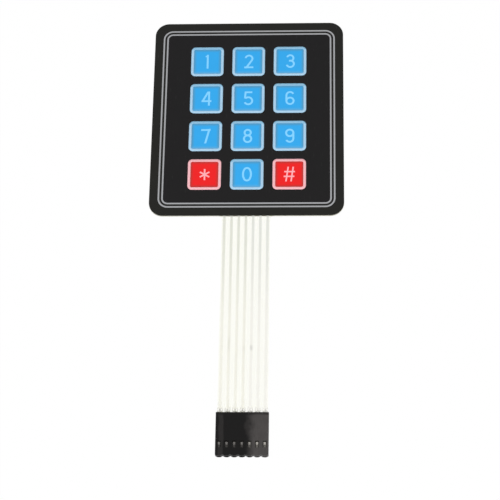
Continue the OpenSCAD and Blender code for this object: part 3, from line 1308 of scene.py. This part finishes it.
@dataclass(frozen=True)
class PhotoCamera:
    """The photograph's viewpoint, solved from the panel, the keys and the housing."""

    place: Tuple[float, float, float] = (28.394, -265.936, 531.790)
    turn: Tuple[float, float, float] = (21.9968, 2.5339, 0.8795)
    focal_px: float = 1644.52
    photo_px: float = 500.0
    sensor: float = 36.0
    clip_from: float = 0.01
    clip_to: float = 20.0

    def build(self) -> None:
        """Adds the camera and makes it the scene's."""
        data = bpy.data.cameras.new("photo_camera")
        data.sensor_width = self.sensor
        data.lens = self.focal_px / self.photo_px * self.sensor
        data.clip_start, data.clip_end = self.clip_from, self.clip_to
        camera = bpy.data.objects.new("photo_camera", data)
        camera.location = Vector(self.place) * MM
        camera.rotation_euler = [math.radians(angle) for angle in self.turn]
        bpy.context.scene.collection.objects.link(camera)
        bpy.context.scene.camera = camera


@dataclass(frozen=True)
class Softbox:
    """A square area lamp that looks at the object."""

    name: str
    azimuth: float
    elevation: float
    power: float
    distance: float = 1.2
    size: float = 1.0

    def build(self, target: Vector) -> None:
        """Adds the lamp.

        Args:
            target: What it looks at, in metres.
        """
        data = bpy.data.lights.new(self.name, "AREA")
        data.shape = "SQUARE"
        data.size = self.size
        data.energy = self.power
        lamp = bpy.data.objects.new(self.name, data)
        azimuth, elevation = math.radians(self.azimuth), math.radians(self.elevation)
        back = Vector((
            math.sin(azimuth) * math.cos(elevation),
            -math.cos(azimuth) * math.cos(elevation),
            math.sin(elevation),
        ))
        lamp.location = target + back * self.distance
        lamp.rotation_euler = back.to_track_quat("Z", "Y").to_euler()
        bpy.context.scene.collection.objects.link(lamp)


@dataclass
class Studio:
    """A white floor, soft lamps and a white surround."""

    lamps: Tuple[Softbox, ...]
    floor_size: float = 12.0
    floor_colour: Colour = (0.9, 0.9, 0.9, 1)
    floor_roughness: float = 0.9
    floor_glow: float = 0.985
    ambient: float = 0.5

    def build(self, target: Vector) -> None:
        """Adds the floor, the lamps and the world, and sets the view's transform.

        Args:
            target: What the lamps look at, in metres.
        """
        self.floor()
        self.world()
        for lamp in self.lamps:
            lamp.build(target)
        bpy.context.scene.view_settings.view_transform = "Standard"

    def seen(self, graph: Graph) -> Wire:
        """Tells the rays that see the surround from those that it only lights.

        Args:
            graph: The graph of the floor or of the world.

        Returns:
            1 for a ray from the camera, or mirrored or passed by the object.
        """
        path = graph.node("ShaderNodeLightPath", {}, {})
        kinds = "Camera", "Glossy", "Transmission"
        camera, glossy, passed = (Wire(graph, path.outputs[f"Is {kind} Ray"]) for kind in kinds)
        return camera.most(glossy).most(passed)

    def floor(self) -> None:
        """A large plane that shows white and keeps the object's shadow."""
        floor = plane("studio_floor", self.floor_size / MM, self.floor_size / MM, (0, 0, 0))
        material = bpy.data.materials.new("white_floor")
        material.use_nodes = True
        graph = Graph(material.node_tree)
        graph.set(
            Base_Color=self.floor_colour, Roughness=self.floor_roughness, Specular_IOR_Level=0.0
        )
        glow = graph.wire("ShaderNodeEmission", {}, {"Color": (1, 1, 1, 1), "Strength": 1.0})
        lit = Wire(graph, graph.shader.outputs[0])
        share = self.seen(graph) * self.floor_glow
        mixed = graph.wire("ShaderNodeMixShader", {}, {0: share, 1: lit, 2: glow})
        graph.feed(material.node_tree.nodes["Material Output"].inputs["Surface"], mixed)
        floor.data.materials.append(material)

    def world(self) -> None:
        """A white surround, dimmer where it only lights the object."""
        world = bpy.data.worlds.new("white_surround")
        world.use_nodes = True
        bpy.context.scene.world = world
        graph = Graph(world.node_tree, "Background")
        strength = self.ambient + self.seen(graph) * (1 - self.ambient)
        graph.set(Color=(1, 1, 1, 1), Strength=strength)


GROUND_WEAR = {"roughness": 0.55, "specular": 0.14, "mottle": 0.3, "rub": 0.05}
# The fields' painted shade sets in between these distances from the key's centre.
FIELD_GLOSS = {"specular": 0.2, "mottle": 0.05, "painted_shade_span": (3.7, 4.9)}
RIM_GLOSS = {"roughness": 0.42, "specular": 0.4, "mottle": 0.04}
FINISHES: Dict[Ink, Finish] = {
    Ink.GROUND: FilmPrint("matt_black_ground", srgb(17, 16, 17), **GROUND_WEAR),
    Ink.MARGIN: FilmPrint("matt_black_margin", srgb(24, 24, 21), **GROUND_WEAR),
    Ink.LINE: MetalPrint("silver_line", srgb(158, 159, 162), roughness=0.4, specular=0.4),
    # The field inks carry painted shade round the fields, with its own colour at their lower side.
    Ink.BLUE: FieldPrint(
        "key_blue", srgb(48, 164, 231),
        painted_shade_colour=srgb(76, 148, 188), lower_side_shade=srgb(88, 165, 212), **FIELD_GLOSS,
    ),
    Ink.RED: FieldPrint(
        "key_red", srgb(231, 27, 29),
        painted_shade_colour=srgb(184, 48, 44), lower_side_shade=srgb(184, 48, 44), **FIELD_GLOSS,
    ),
    # The rim inks carry painted shade along the rims' upper sides.
    Ink.RIM_BY_BLUE: RimPrint(
        "rim_white_by_blue", srgb(165, 202, 228),
        painted_shade_colour=srgb(131, 179, 208), painted_shade_span=(4.4, 5.0), **RIM_GLOSS,
    ),
    Ink.RIM_BY_RED: RimPrint(
        "rim_white_by_red", srgb(240, 182, 188),
        painted_shade_colour=srgb(226, 168, 174), painted_shade_span=(4.6, 5.3), **RIM_GLOSS,
    ),
}
LEGEND_INKS = (
    FilmPrint("legend_on_blue", srgb(130, 207, 252), specular=0.2, mottle=0.04),
    FilmPrint("legend_on_red", srgb(255, 172, 179), specular=0.2, mottle=0.04),
)
CIRCUIT_FILM = ClearFilm("clear_polyester", srgb(255, 255, 110), roughness=0.25)
SPACER_FILM = ClearFilm("clear_spacer", srgb(255, 255, 120), roughness=0.35, specular=0.4)
SILVER_INK = SilverInk(
    "printed_silver", srgb(217, 218, 214), specular=0.4,
    far_colour=srgb(231, 230, 226), smudge_colour=srgb(150, 148, 150),
    smudges=(
        Smudge(-5.0, -85.8, 0.9, 4.5, 0.12),
        Smudge(0.1, -87.6, 1.2, 1.2, 0.14),
        Smudge(2.6, -87.6, 1.2, 1.2, 0.3),
    ),
)
GLUE = UnevenSheet("clear_acrylic", srgb(206, 204, 190), roughness=0.3)
LINER = UnevenSheet(
    "release_paper", srgb(236, 231, 214), roughness=0.45, specular=0.4,
    layers=(Noise(3.0, 5, 0.2, 35), Noise(0.25, 4)), tint=0.1, rough=0.25, depth=0.012,
)
# Black nylon, with painted sheen and paler worn edges.
PLASTIC = MouldedPlastic(
    "black_nylon", srgb(10, 9, 9), roughness=0.45, specular=0.12, sheen_and_wear_colour=srgb(72, 69, 68)
)
# Tin, with painted shade and highlights inside the housing.
TIN = TinPlate(
    "tin_plate", srgb(240, 239, 234), roughness=0.3,
    housing_shade=srgb(88, 86, 84), housing_half_shade=srgb(128, 125, 120),
)
LAMPS = (
    Softbox("key_softbox", azimuth=35, elevation=60, power=8),
    Softbox("fill_softbox", azimuth=-60, elevation=45, power=4.5),
)


def main() -> None:
    """Builds the pieces in order, dresses the model and sets up the picture."""
    logging.basicConfig(level=logging.INFO, format="%(name)s: %(message)s")
    PhotoCamera().build()
    grid = KeyGrid()
    overlay = PrintedOverlay(grid, FINISHES)
    overlay.build()
    KeyLegends(grid, LEGEND_INKS, overlay.face_z).build()
    CircuitLayers(CIRCUIT_FILM, SPACER_FILM, SILVER_INK, GLUE, LINER).dress()
    TailSocket(PLASTIC, TIN).dress()
    Studio(LAMPS).build((cad_bounds[0] + cad_bounds[1]) / 2)


if __name__ == "__main__":
    main()
